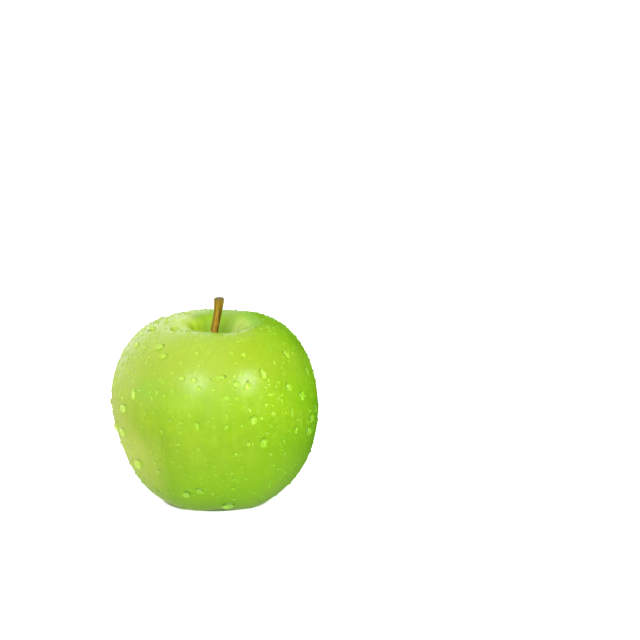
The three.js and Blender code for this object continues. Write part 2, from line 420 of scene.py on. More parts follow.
def makeSkinFinish(specks, blotches):
    finish = Finish(
        "waxy green skin", skin, IOR=1.42, Subsurface_Weight=0.12, Subsurface_Scale=3 * mm,
        Subsurface_Radius=(0.7, 1.0, 0.25),
    )
    scale, zone = skin["scale"], skin["zone"]
    place = finish.place()
    x, y, z = finish.parts(place)
    across = (x * x + y * y) ** 0.5
    offAxis = across + 0.1 * mm  # never 0, so that it can be divided by
    cosine = x / offAxis
    sine = y / offAxis

    # A pattern that runs down the fruit as its meridians do.
    def meridians(name, **settings):
        around, up, fineness = skin[name]
        return finish.noise(finish.drawnOut(cosine, sine, z, around, up), fineness, **settings)

    # Broad clouds of tone, and faint streaks that run from the stem to the flower.
    clouds = finish.noise(place, scale["clouds"], detail=2.0).between(0.34, 0.68)
    patches = finish.noise(place, scale["patches"], roughness=0.6).between(0.35, 0.7)
    streaks = meridians("streaks", roughness=0.65).between(0.36, 0.72)
    tone = finish.lay(skin["fresh"], clouds, "clouds", "deep")
    tone = finish.lay(tone, streaks, "streaks", "pale")
    tone = finish.lay(tone, patches, "patches", "deep")

    # Painted shade and green bounce light on the right side, and a painted sheen that makes the left side
    # paler and yellower, most of all low down; their edges wander with the clouds.
    shade = (cosine * 0.85 + sine * 0.3 + (clouds - 0.5) * 0.3).between(0.0, 1.05)
    shade = shade * z.between(*zone["shadeUp"])
    tone = finish.lay(tone, shade, "shade")
    paintedSheenLeft = (clouds * 0.2 - cosine).between(0.55, 1.05) * (0.3 + z.between(*zone["paintedSheenLeftUp"]) * 0.7)
    tone = finish.lay(tone, paintedSheenLeft, "paintedSheenLeft")
    tone = finish.lay(tone, paintedSheenLeft * z.between(*zone["paintedSheenLowLeftUp"]), "paintedSheenLowLeft")
    for spot, size in blotches:
        cloud = (finish.farFrom(place, spot) + (patches - 0.5) * 0.5 * size).between(size, size * 0.2)
        tone = finish.lay(tone, cloud, "blotch", "shade")

    # Yellower over the shoulder and in the stem cavity, painted light on the cavity's right wall, and painted
    # shade behind the shoulder.
    crown = z.between(*zone["crownUp"]) * (1.0 - shade * 0.6)
    tone = finish.lay(tone, crown, "crown")
    high = z.between(*zone["cavityUp"])
    inside = (across - x * 0.12).between(*zone["cavityOut"]) * high
    tone = finish.lay(tone, inside, "hollow")
    paintedLightRightWall = x.between(*zone["paintedLightRightWallAlong"]) * inside
    tone = finish.lay(tone, paintedLightRightWall, "paintedLightRightWall")
    back = (x * 0.7 + y).between(*zone["backTowards"]) * z.between(*zone["backUp"]) * (1.0 - inside)
    sparedFrom, sparedTo = zone["backSpared"]
    back = back * (1.0 - x.between(*sparedFrom) * x.between(*sparedTo) * 0.6)
    tone = finish.lay(tone, back, "back", "deep")

    # Furrows down the cavity, with painted shade in its throat and on its far wall, painted light on its left
    # wall and a painted reflection along its left lip.
    furrows = meridians("furrows")
    paintedLightLeftWall = cosine.between(-0.35, -0.6) * cosine.between(-0.95, -0.75) * inside
    dark = furrows.between(0.5, 0.7) * inside * (1.0 - paintedLightLeftWall * 0.9)
    tone = finish.lay(tone, dark, "furrows", "furrowed")
    tone = finish.lay(tone, furrows.between(0.45, 0.3) * inside, "ridges", "pale")
    throat = across.between(*zone["throatOut"]) * high
    tone = finish.lay(tone, throat * (1.0 - paintedLightLeftWall), "throat", "furrowed")
    lit = paintedLightLeftWall * across.between(*zone["paintedLightLeftWallOut"])
    tone = finish.lay(tone, lit, "paintedLightLeftWall")
    paintedShadeFarWall = sine.between(0.4, 0.85) * across.between(*zone["paintedShadeFarWallOut"]) * high * (1.0 - paintedLightLeftWall)
    tone = finish.lay(tone, paintedShadeFarWall, "paintedShadeFarWall", "deep")
    lipFrom, lipTo = zone["paintedSheenLipOut"]
    paintedSheenLip = across.between(*lipFrom) * across.between(*lipTo)
    paintedSheenLip = paintedSheenLip * cosine.between(-0.4, -0.9) * z.between(*zone["paintedSheenLipUp"])
    tone = finish.lay(tone, paintedSheenLip, "paintedSheenLip", "lip")
    # Painted shade round the foot, except where the left side carries painted sheen.
    foot = z.between(*zone["footUp"]) * (1.0 - paintedSheenLeft)
    tone = finish.lay(tone, foot, "paintedShadeFoot")

    # Thin cork in rays round the stem's foot, and in the basin round the dried flower.
    rays = meridians("rays", detail=4.0).between(0.4, 0.6)
    nearStem = across.between(*zone["stemOut"]) * z.between(*zone["stemUp"])
    nearFlower = across.between(*zone["flowerOut"]) * z.between(*zone["flowerUp"])
    cork = (nearStem + nearFlower) * (0.35 + rays * 0.65)
    tone = finish.lay(tone, cork, "cork")

    # Pores: pale points about 0.6 mm across, in loose groups.
    cells = {"Vector": place, "Scale": scale["pores"]}
    cell = finish.node("ShaderNodeTexVoronoi", {"feature": "F1"}, cells, "Distance")
    pores = cell.between(0.13, 0.07) * finish.noise(place, scale["poreGroups"]).between(0.45, 0.6)
    tone = finish.lay(tone, pores, "pore")

    # A few dark specks, each a little ragged.
    ragged = (finish.noise(place, scale["ragged"]) - 0.5) * 0.5 * mm
    for spot, size in specks:
        mark = (finish.farFrom(place, spot) + ragged).between(size * 1.25, size * 0.6)
        tone = finish.lay(tone, mark, "speck")

    # A fine peel, and a gloss that the wax breaks up and that is duller in the cavity and on its right lip.
    wax = finish.noise(place, scale["wax"], detail=2.0)
    relief = finish.bump(finish.noise(place, scale["peel"], detail=1.0), skin["peel"], 0.2)
    lipFrom, lipTo = zone["rightLipOut"]
    rightLip = across.between(*lipFrom) * across.between(*lipTo) * x.between(*zone["rightLipAlong"])
    dull = cork * 0.35 + inside * 0.3 + throat * 0.2 + rightLip * high * 0.4
    gloss = skin["gloss"] + (clouds - 0.5) * 0.05 + (wax - 0.5) * 0.06 + dull
    return finish.feed(Base_Color=tone, Roughness=gloss, Normal=relief)


apple = makeSkin()
surface = BVHTree.FromPolygons([v.co for v in apple.data.vertices], [p.vertices for p in apple.data.polygons])


# Where the skin is under a place in the picture, or nearest to it past the outline, and which way it faces.
def skinAt(across, down):
    line = sightLine(camera, across, down)
    place, normal, _, _ = surface.ray_cast(camera.location, line)
    if place is None:
        beside = camera.location + line * (view["aim"] - camera.location).dot(line)
        place, normal, _, _ = surface.find_nearest(beside)
    return place, normal


def spotsOn(places):
    return [(skinAt(across, down)[0], size) for across, down, size in places]


apple.data.materials.append(makeSkinFinish(spotsOn(skin["specks"]), spotsOn(skin["blotches"])))


# The stem, drawn up ring by ring along the frame's own stem, with a torn end.
stalk = {
    "sides": 24,
    "thinnest": 1.1 * mm,  # the frame's rings thinner than this only close its ends
    "level": 0.02 * mm,  # points this close in height are on one ring
    "grain": 0.11 * mm,  # depth of the wrinkles along it
    "twist": 0.9,  # how far they turn about it on their way up, in radians
    "knobs": 0.1 * mm,
    "rim": 0.28 * mm,  # width of the bark round the torn end
    "tear": 0.35 * mm,  # how deep the torn end is hollowed
    "tearSteps": (0.4, 1.4),  # widths of the steps down into it, as shares of the rim
    "tornFrom": 0.985,  # as a share of the stem's length
    "tornSize": 0.45 * mm,
    "waist": 0.11 * mm,  # how much thinner it is a little below the head
    "waistAt": 0.78,
    "waistReach": 0.09,
    "kink": 0.54 * mm,  # how far its middle hangs towards -X
    "flare": 0.14 * mm,  # how far the head swells
    "flareFrom": 0.72,
    "gold": rgb(222, 180, 58),
    "olive": rgb(128, 102, 20),
    "umber": rgb(58, 44, 2),
    "rust": rgb(176, 98, 36),
    "ash": rgb(112, 94, 66),  # the weathered head
    "gloss": 0.55,
    "ribs": 0.12 * mm,  # height of the relief of the fibres
    "fibreSpace": (1000.0, 110.0),  # how far the fibres are squeezed across the stem and along it
    "fibres": 1.5,
    "threads": 4.5,  # finer than the fibres
    "blots": 260.0,  # in cells to the metre
    # How strongly each tone covers what is under it.
    "cover": {
        "threads": 0.5, "rust": 0.75, "dark": 0.95, "blots": 0.25, "edge": 0.5, "neck": 0.5,
    },
    # Where a tone sets in and where it is full: up the stem as a share, or aside from its middle.
    "zone": {
        "rustUp": (0.85, 0.6), "rustAside": (-1.4 * mm, 0.0), "darkAside": (-0.2 * mm, 0.8 * mm),
        "darkUp": (0.95, 0.84), "edgeAside": (-0.6 * mm, -1.2 * mm), "neckUp": (0.84, 0.94),
        "headUp": (0.965, 0.995),
    },
}


# The middle and the radius of each ring of a turned node, from the lowest up.
def ringsOf(node):
    levels = {}
    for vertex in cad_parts[node].data.vertices:
        levels.setdefault(round(vertex.co.z / stalk["level"]), []).append(vertex.co)
    rings = []
    for level in sorted(levels):
        places = levels[level]
        middle = sum(places, Vector()) / len(places)
        middle.x = (min(p.x for p in places) + max(p.x for p in places)) / 2
        middle.y = (min(p.y for p in places) + max(p.y for p in places)) / 2
        rings.append((middle, max((p - middle).length for p in places)))
    return rings


def makeStalk():
    rings = [ring for ring in ringsOf("stem") if ring[1] > stalk["thinnest"]]
    low, high = rings[0][0], rings[-1][0]
    middle, radius = rings[0]
    onlySelect()
    bpy.ops.mesh.primitive_circle_add(
        vertices=stalk["sides"], radius=radius, fill_type="NGON", location=middle
    )
    piece = bpy.context.object
    piece.name = piece.data.name = "stalk"
    bpy.ops.object.transform_apply(location=True)
    editAll(piece, "FACE")
    for upper, upperRadius in rings[1:]:
        bpy.ops.mesh.extrude_region_move(TRANSFORM_OT_translate={"value": upper - middle})
        grow = upperRadius / radius
        bpy.ops.transform.resize(value=(grow, grow, 1), center_override=upper)
        middle, radius = upper, upperRadius
    bpy.ops.mesh.inset(thickness=stalk["rim"])
    for share in stalk["tearSteps"]:
        down = stalk["tear"] / len(stalk["tearSteps"])
        bpy.ops.mesh.inset(thickness=stalk["rim"] * share, depth=-down)
    doneEditing()
    mendNormals(piece)
    smoothOut(piece, 2)

    # Wrinkles run along the stem and twist a little round it; knobs come where buds were.
    def wrinkle(place):
        along = (place.z - low.z) / (high.z - low.z)
        spine = low.lerp(high, along)
        angle = math.atan2(place.y - spine.y, place.x - spine.x) + along * stalk["twist"]
        outward = Vector((math.cos(angle), math.sin(angle), 0))
        fine = outward * 2.6 + Vector((0, 0, place.z / (9 * mm)))
        coarse = outward * 0.8 + Vector((0, 0, place.z / (3.1 * mm)))
        torn = noise.noise(place / stalk["tornSize"]) * 0.9 if along > stalk["tornFrom"] else 0.0
        ridges = noise.noise(fine) - 0.35 * abs(noise.noise(fine * 2.3))
        head = stalk["flare"] * max(0.0, (along - stalk["flareFrom"]) / (1 - stalk["flareFrom"])) ** 2
        head -= stalk["waist"] * math.exp(-(((along - stalk["waistAt"]) / stalk["waistReach"]) ** 2))
        return stalk["grain"] * (ridges + torn) + stalk["knobs"] * noise.noise(coarse) + head

    swell(piece, wrinkle)
    for vertex in piece.data.vertices:
        along = min(1.0, max(0.0, (vertex.co.z - low.z) / (high.z - low.z)))
        vertex.co.x -= stalk["kink"] * math.sin(math.pi * along ** 1.2) ** 2  # most a little over half-way
    shadeSmooth(piece)
    piece.data.materials.append(makeBark(low, high))
    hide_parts("stem")
    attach(piece, "root")
    print("stalk:", len(piece.data.polygons), "faces")


def makeBark(low, high):
    finish = Finish("olive bark", stalk, Specular_IOR_Level=0.2)
    zone = stalk["zone"]
    place = finish.place()
    x, y, z = finish.parts(place)
    along = (z - low.z) / (high.z - low.z)
    aside = x - (low.x + along * (high.x - low.x))
    depth = y - (low.y + along * (high.y - low.y))

    # Long fibres that lean with the stem, and finer threads among them.
    fibreSpace = finish.drawnOut(aside, depth, z, *stalk["fibreSpace"])
    fibres = finish.noise(fibreSpace, stalk["fibres"], detail=4.0, roughness=0.6).between(0.3, 0.7)
    threads = finish.noise(fibreSpace, stalk["threads"], detail=2.0, roughness=0.6).between(0.35, 0.65)
    blots = finish.noise(place, stalk["blots"]).between(0.42, 0.64)
    tone = finish.mix(fibres, stalk["olive"], stalk["gold"])
    tone = finish.lay(tone, threads, "threads", "umber")

    # Rust low down, dark on the right, olive at the left edge and the neck, and an ashen head.
    rust = along.between(*zone["rustUp"]) * (0.35 + fibres * 0.65) * aside.between(*zone["rustAside"])
    tone = finish.lay(tone, rust, "rust")
    dark = aside.between(*zone["darkAside"]) * (0.7 + blots * 0.3)
    dark = dark * (0.45 + along.between(*zone["darkUp"]) * 0.55)
    tone = finish.lay(tone, dark, "dark", "umber")
    tone = finish.lay(tone, blots, "blots", "umber")
    tone = finish.lay(tone, aside.between(*zone["edgeAside"]), "edge", "olive")
    tone = finish.lay(tone, along.between(*zone["neckUp"]), "neck", "olive")
    head = along.between(*zone["headUp"])
    tone = finish.mix(head * (0.55 + blots * 0.35), tone, stalk["ash"])
    relief = finish.bump(fibres + threads * 0.6, stalk["ribs"], 0.6)
    gloss = stalk["gloss"] + fibres * 0.15 + head * 0.2
    return finish.feed(Base_Color=tone, Roughness=gloss, Normal=relief)


makeStalk()


# The dried flower: five crinkled downy sepals, the ring of stamens and the styles in its middle.
flower = {
    "seed": 11,
    "sepals": 5,
    "crinkle": 0.14 * mm,
    "crinkleSize": (1.1 * mm, 0.45 * mm),  # of the broad crinkles, and of the fine ones half as high
    "threadCrinkle": 0.35,  # the threads crinkle by this share of that
    "threadSize": 0.5 * mm,
    "hairs": 110,  # on each sepal
    "hairLength": 0.75 * mm,
    "hairWidth": 0.035 * mm,
    "hairBend": 0.45,  # how far its tip is pulled aside, as a share of its length
    "leaf": rgb(112, 88, 48),
    "leafEdge": rgb(58, 40, 20),
    "leafGreen": rgb(104, 108, 46),
    "greenUp": (5.5 * mm, 9 * mm),  # the sepals turn green between these heights
    "down": rgb(186, 176, 150),
    "thread": rgb(74, 48, 26),
    "knob": rgb(40, 24, 14),
    "gloss": 0.85,
    "ribs": (0.1 * mm, 0.08 * mm),  # height of the relief of a sepal, and of a thread
    # How fine each pattern is, in cells to the metre, and across and along for those that run up.
    "scale": {
        "veins": (1600.0, 260.0), "leafBlots": 420.0, "fuzz": 2600.0, "ribs": (2600.0, 420.0),
        "threadBlots": 700.0, "downBlots": 900.0,
    },
    "cover": {"leafGreen": 0.6, "veins": 0.35, "down": 0.4, "threadBlots": 0.4},
}


def makeSepalFinish():
    finish = Finish("dried sepal", flower, Specular_IOR_Level=0.2)
    place = finish.place()
    x, y, z = finish.parts(place)
    scale = flower["scale"]
    veins = finish.noise(finish.drawnOut(x, y, z, *scale["veins"]), 1.0).between(0.35, 0.65)
    blots = finish.noise(place, scale["leafBlots"], detail=4.0).between(0.4, 0.62)
    fuzz = finish.noise(place, scale["fuzz"], detail=2.0).between(0.52, 0.68)
    tone = finish.mix(blots, flower["leaf"], flower["leafEdge"])
    tone = finish.lay(tone, z.between(*flower["greenUp"]), "leafGreen")
    tone = finish.lay(tone, veins, "veins", "leafEdge")
    tone = finish.lay(tone, fuzz, "down")
    relief = finish.bump(veins + fuzz * 0.4, flower["ribs"][0], 0.7)
    return finish.feed(Base_Color=tone, Roughness=flower["gloss"] - veins * 0.1, Normal=relief)


def makeThreadFinish():
    finish = Finish("dried thread", flower, Specular_IOR_Level=0.25)
    place = finish.place()
    x, y, z = finish.parts(place)
    scale = flower["scale"]
    ribs = finish.noise(finish.drawnOut(x, y, z, *scale["ribs"]), 1.0).between(0.35, 0.65)
    blots = finish.noise(place, scale["threadBlots"]).between(0.4, 0.65)
    tone = finish.mix(ribs, flower["thread"], flower["knob"])
    tone = finish.lay(tone, blots, "threadBlots", "leaf")
    relief = finish.bump(ribs, flower["ribs"][1], 0.7)
    return finish.feed(Base_Color=tone, Roughness=flower["gloss"] - ribs * 0.12, Normal=relief)


def makeDownFinish():
    finish = Finish("grey down", flower, Specular_IOR_Level=0.2, Sheen_Weight=0.3)
    blots = finish.noise(finish.place(), flower["scale"]["downBlots"], detail=2.0)
    tone = finish.mix(blots, flower["down"], flower["leaf"])
    return finish.feed(Base_Color=tone, Roughness=0.9 - blots * 0.1)


# A hair: a thin cone, bent over by pulling its tip aside.
def makeHair():
    onlySelect()
    length, width = flower["hairLength"], flower["hairWidth"]
    bpy.ops.mesh.primitive_cone_add(vertices=4, radius1=width, radius2=width * 0.15, depth=length)
    hair = bpy.context.object
    hair.location = (0, 0, length / 2)
    bpy.ops.object.transform_apply(location=True)
    editAll(hair, "EDGE")
    bpy.ops.mesh.subdivide(number_cuts=1)
    doneEditing()
    for vertex in hair.data.vertices:
        vertex.co.x += flower["hairBend"] * length * (vertex.co.z / length) ** 2
    return hair


# A dried copy of a node of the frame, crinkled by depth(place), that replaces it.
def makeDried(node, depth, material):
    piece = copyOfNode(node, "dry_" + node)
    smoothOut(piece, 2)
    swell(piece, depth)
    shadeSmooth(piece)
    piece.data.materials.append(material)
    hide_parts(node)
    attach(piece, "root")
    return piece


def makeFlower():
    dice = random.Random(flower["seed"])
    broad, narrow = flower["crinkleSize"]
    leafFinish, threadFinish = makeSepalFinish(), makeThreadFinish()
    hair = makeHair()
    hairs = []
    for count in range(1, flower["sepals"] + 1):
        shift = Vector((count * 3.7, count * 1.3, 0))  # so that no two sepals crinkle alike

        def crinkle(place):
            waves = noise.noise(place / broad + shift) + 0.5 * noise.noise(place / narrow + shift)
            return flower["crinkle"] * waves

        leaf = makeDried(f"sepal_{count}", crinkle, leafFinish)
        for face in dice.sample(list(leaf.data.polygons), flower["hairs"]):
            long = dice.uniform(0.5, 1.15)
            lean = dice.uniform(0, 2 * math.pi)
            hairs.append((hair, standOn(face.center, face.normal, lean, (1, 1, long))))

    def shrivel(place):
        return flower["crinkle"] * flower["threadCrinkle"] * noise.noise(place / flower["threadSize"])

    for node in ("stamens", "styles"):
        makeDried(node, shrivel, threadFinish)
    down = scatter("sepal_down", hairs)
    down.data.materials.append(makeDownFinish())
    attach(down, "root")
    removeShapes(hair)
    print("flower:", len(hairs), "hairs")


makeFlower()


# The water: beads that the wax holds up, a few large ones in their own places and many small ones.
water = {
    "seed": 5,
    "edgeAngle": math.radians(82),  # between the skin and a bead's side
    "sunk": 0.06,  # share of a bead's radius that is under the skin
    "gap": 0.1 * mm,  # least room between two beads
    "cell": 4 * mm,  # beads are filed by the cell that they stand in
    "wander": 0.34,  # how far a loose bead's foot line wanders in and out, as a share of its radius
    "hang": 0.16,  # how far its top leans downhill, as a share of its height
    # Sprinkled beads: how many at most, least and largest radius, and how far small ones outnumber large.
    "sprinkled": {
        "back_beads": (120, 0.75 * mm, 1.8 * mm, 1.6),
        "small_beads": (1900, 0.3 * mm, 0.78 * mm, 2.0),
        "fine_beads": (2400, 0.15 * mm, 0.33 * mm, 1.2),
    },
    "tries": 8,  # places tried for each bead that is wanted
    "turnedAway": 0.1,  # least cosine between the way a back bead faces and the camera's own way
    "long": (0.85, 1.2),  # how long and how high a sprinkled bead is, as shares of its radius
    "high": (0.5, 0.85),
    "lean": 0.4,  # spread of its turn about itself, in radians
    # All kinds: sides and rings of the ball that each bead is cut from.
    "balls": {"large_beads": (24, 28), "back_beads": (16, 16), "small_beads": (8, 8), "fine_beads": (6, 8)},
    # How likely a sprinkled bead is to stay where it falls.
    "spread": {
        "everywhere": 0.35,
        "left": 0.45,  # added at the far left
        "right": 0.12,  # taken off at the far right
        "halfWidth": 38 * mm,
        "shoulder": 0.5,  # added on the shoulder, which begins at this height and is this tall
        "shoulderFrom": 40 * mm,
        "shoulderTall": 25 * mm,
        "patch": 11 * mm,  # size of the wetter and drier patches
        "average": 0.5,
        "patchiness": 0.9,
        "least": 0.1,
        "nearAxis": 14 * mm,  # few stay nearer to the axis than this
        "nearAxisShare": 0.15,
        "cavity": 10 * mm,  # and none in the stem cavity
        "low": 8 * mm,  # few stay lower than this
        "lowShare": 0.25,
    },
    "blur": 0.1,
    "ripple": 0.03 * mm,
    "rippleScale": 500.0,  # in cells to the metre
    "clear": rgb(238, 250, 172),
    "clearer": rgb(232, 250, 160),
    "dimmer": rgb(206, 228, 140),  # painted shade: beads on the right are tinted dimmer
    # painted shade through a bead's steep side
    "side": rgb(120, 152, 34),
    # the colour of a painted glow that a bead gives off
    "gleam": (0.14, 0.175, 0.07, 1),
    "cover": {"dimmer": 0.4},
    "sideShare": {"large_beads": 0.62, "back_beads": 0.62, "small_beads": 0.55, "fine_beads": 0.15},
    "gleamShare": {"large_beads": 1.0, "back_beads": 1.0, "small_beads": 0.4, "fine_beads": 0.3},
    # Where a tone sets in and where it is full, along X or up from the table.
    "zone": {
        "leftAlong": (-18 * mm, -32 * mm), "dimAlong": (-22 * mm, 6 * mm),
        "lowUp": (18 * mm, 2 * mm), "glowUp": (74 * mm, 50 * mm),
    },
    # Across and down the picture, then width along the slope and across it in mm, and lean in degrees.
    "placed": (
        (253.3, 420, 3.4, 3.3, 0), (263.3, 442.8, 3.7, 3.9, 0), (138.9, 463.3, 3.8, 5.4, 20),
        (124.4, 408.3, 3.2, 4.2, 0), (123.5, 431.7, 3.2, 4.4, 0), (117.5, 425, 3.4, 3, 0),
        (227.8, 505, 3.4, 4.4, 0), (200, 490.6, 2.2, 3.4, -25), (186.7, 493.9, 2.8, 2.8, -30),
        (160, 347.2, 3.8, 2.6, -15), (163.9, 356.1, 2.8, 3.4, 0), (262.8, 373.9, 3.8, 3, 0),
        (301, 395.6, 3.4, 3, 0), (288.3, 387.2, 3.4, 2.6, 20), (285.6, 354.4, 3.6, 2.8, 15),
        (136.9, 345.6, 2.2, 2, 0), (157.2, 391.7, 2.4, 1.2, 15), (197.2, 425.6, 2.7, 2.2, 0),
        (226, 427.2, 1.8, 1.8, 0), (272.8, 413.3, 2, 2.4, 0), (310.6, 417.8, 3, 3.2, 0),
        (296, 429.4, 3.2, 1.7, 8), (307.8, 430.6, 3.4, 3.2, 0), (162.2, 431.7, 2.2, 1.4, 35),
        (133.9, 394.4, 4.2, 1.8, 10), (122.8, 397.8, 1.4, 1.4, 0), (159.4, 471.7, 2, 2.2, 0),
        (182.2, 378.3, 1.6, 2.4, 0), (218, 378.3, 1.9, 5.6, 8), (236.7, 383.9, 2.3, 2.4, 0),
        (247.8, 386.1, 2.8, 2.7, 0), (198.9, 448.9, 1.7, 1.5, 20), (266, 404.4, 1.6, 1.6, 0),
        (291.7, 412.2, 3.4, 1.6, 0), (271, 394.4, 1.3, 3.5, 0), (226.7, 397.8, 1.5, 2.6, 0),
        (181.1, 465.6, 1.5, 1.3, 0), (148.3, 473.9, 1.2, 1.1, 0), (270.6, 453.9, 1, 1, 0),
        (193.9, 380, 2.6, 2.6, 0), (198.9, 388.9, 1.8, 1.8, 0), (273.9, 362.8, 1.8, 1.6, 0),
        (170.6, 420.6, 1.2, 2, 0), (173.9, 416.1, 1.1, 1, 0), (181.7, 422.8, 1.1, 1.6, 15),
        (180.6, 431.7, 1.4, 1.3, 0), (190, 415.6, 1.8, 1, -10), (155, 461.7, 1.4, 2, 0),
        (165.9, 463.3, 1.3, 0.9, 0), (184.4, 478.3, 1, 1.3, 0), (248.3, 443.3, 1.6, 1.9, 0),
        (236, 454.4, 1.9, 1.9, 0), (241.7, 425.6, 1.5, 1.1, 0), (226.6, 416, 2.2, 1.2, -20),
        (214.4, 427.2, 1.6, 0.9, 0), (261.7, 417.8, 1.2, 1.1, 0), (281.7, 401.7, 2.3, 0.9, 5),
        (275.6, 386.7, 1.2, 1.1, 0), (231, 353.9, 2, 1.9, 0), (243.5, 355.5, 2.3, 2.1, 0),
        (238.3, 341.7, 1.2, 1, 0), (152.8, 328.7, 2.6, 3.2, 0), (155, 373.3, 1.4, 1.2, 0),
        (147.2, 363.3, 1.4, 1.2, 0), (165, 395.6, 1.3, 1.1, 0), (172.8, 391.1, 1.7, 1.3, 0),
        (174, 329, 2.6, 3, 0), (209.4, 384.4, 1, 1.2, 0), (306.4, 371, 3.4, 1.7, 0),
        (132.5, 463.3, 2.4, 1.5, 0), (315, 408.3, 3, 1.7, 0), (159.4, 447.2, 1.2, 1, 0),
        (165, 438.3, 1.2, 1.1, 0), (284.4, 452.8, 1.4, 1.2, 0),
    ),
}


# A bead of radius 1 on its foot: the cap of a ball, cut off where its side meets the skin at the edge angle.
def makeBeadShape(name, sides, rings):
    onlySelect()
    ball = 1 / math.sin(water["edgeAngle"])
    cut = ball * math.cos(water["edgeAngle"])
    bpy.ops.mesh.primitive_uv_sphere_add(segments=sides, ring_count=rings, radius=ball, location=(0, 0, -cut))
    bead = bpy.context.object
    bead.name = bead.data.name = name + " shape"
    bpy.ops.object.transform_apply(location=True)
    editAll(bead)
    bpy.ops.mesh.bisect(
        plane_co=(0, 0, -water["sunk"]), plane_no=(0, 0, 1), use_fill=True, clear_inner=True
    )
    doneEditing()
    mendNormals(bead)
    markBead(bead, ball - cut)
    return bead


# Writes on a bead how high each point is, as a share of its height, and how far down the slope it is.
def markBead(bead, height):
    for name, share in (("rise", lambda p: p.z / height), ("fall", lambda p: -p.y)):
        mark = bead.data.attributes.new(name, "FLOAT", "POINT")
        for vertex, value in zip(bead.data.vertices, mark.data):
            value.value = share(vertex.co)


# A bead whose foot line wanders in and out, and whose top leans downhill.
def makeLooseBead(shape, dice):
    bead = linkNew("loose", shape.data.copy())
    shift = Vector((dice.uniform(0, 90), dice.uniform(0, 90), 0))
    for vertex in bead.data.vertices:
        flat = Vector((vertex.co.x, vertex.co.y, 0))
        flat *= 1 + water["wander"] * noise.noise(flat * 0.9 + shift) * min(1, flat.length)
        vertex.co = Vector((flat.x, flat.y - water["hang"] * vertex.co.z, vertex.co.z))
    return bead


# Keeps the beads apart.
class Spacing:
    def __init__(self):
        self.cells = {}

    def cellOf(self, place, step=(0, 0, 0)):
        return tuple(int(c // water["cell"]) + s for c, s in zip(place, step))

    def take(self, place, reach):
        self.cells.setdefault(self.cellOf(place), []).append((place, reach))

    def isFree(self, place, reach):
        for step in itertools.product((-1, 0, 1), repeat=3):
            for other, otherReach in self.cells.get(self.cellOf(place, step), ()):
                if (place - other).length < reach + otherReach + water["gap"]:
                    return False
        return True


# How likely a bead is to stay at a place: most on the shoulder, few underneath, none down the stem cavity.
def howWet(place):
    spread = water["spread"]
    patch = spread["average"] + spread["patchiness"] * noise.noise(place / spread["patch"])
    leftward = -place.x / spread["halfWidth"]
    side = spread["left"] * max(0, leftward) - spread["right"] * max(0, -leftward)
    up = min(1, max(0, (place.z - spread["shoulderFrom"]) / spread["shoulderTall"]))
    wet = (spread["everywhere"] + side + spread["shoulder"] * up) * max(spread["least"], patch)
    across = math.hypot(place.x, place.y)
    if across < spread["nearAxis"]:
        inCavity = across <= spread["cavity"] and place.z >= spread["shoulderFrom"]
        wet *= 0 if inCavity else spread["nearAxisShare"]
    if place.z < spread["low"]:
        wet *= spread["lowShare"]
    return wet


def sprinkle(name, shape, dice, spacing, toward):
    count, smallest, largest, favour = water["sprinkled"][name]
    onBack = name == "back_beads"
    faces = apple.data.polygons
    points = apple.data.vertices
    pairs = []
    for face in dice.choices(faces, [face.area for face in faces], k=count * water["tries"]):
        if len(pairs) == count:
            break
        shares = [dice.random() for _ in face.vertices]
        place = sum((points[i].co * s for i, s in zip(face.vertices, shares)), Vector()) / sum(shares)
        size = smallest + (largest - smallest) * dice.random() ** favour
        long = size * dice.uniform(*water["long"])
        if onBack and face.normal.dot(toward) < water["turnedAway"]:
            continue
        if dice.random() > howWet(place) or not spacing.isFree(place, long):
            continue
        spacing.take(place, long)
        bead = makeLooseBead(shape, dice) if onBack else shape
        high = size * dice.uniform(*water["high"])
        lean = dice.gauss(0, water["lean"])
        pairs.append((bead, standOn(place, face.normal, lean, (size, long, high))))
    return pairs


def makeWater(toward):
    dice = random.Random(water["seed"])
    spacing = Spacing()
    shapes = {name: makeBeadShape(name, *ball) for name, ball in water["balls"].items()}
    placed = []
    for across, down, long, wide, lean in water["placed"]:
        place, normal = skinAt(across, down)
        long, wide = long * mm / 2, wide * mm / 2
        bead = makeLooseBead(shapes["large_beads"], dice)
        placed.append((bead, standOn(place, normal, math.radians(lean), (wide, long, min(wide, long)))))
        spacing.take(place, max(long, wide))
    kinds = {"large_beads": placed}
    for name in water["sprinkled"]:
        kinds[name] = sprinkle(name, shapes[name], dice, spacing, toward)
    for name, pairs in kinds.items():
        piece = scatter(name, pairs)
        piece.data.materials.append(makeWaterFinish(name))
        piece.visible_shadow = False
        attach(piece, "root")
        print("water:", len(pairs), name, len(piece.data.polygons), "faces")
    loose = [bead for bead, _ in placed + kinds["back_beads"]]
    removeShapes(*shapes.values(), *loose)


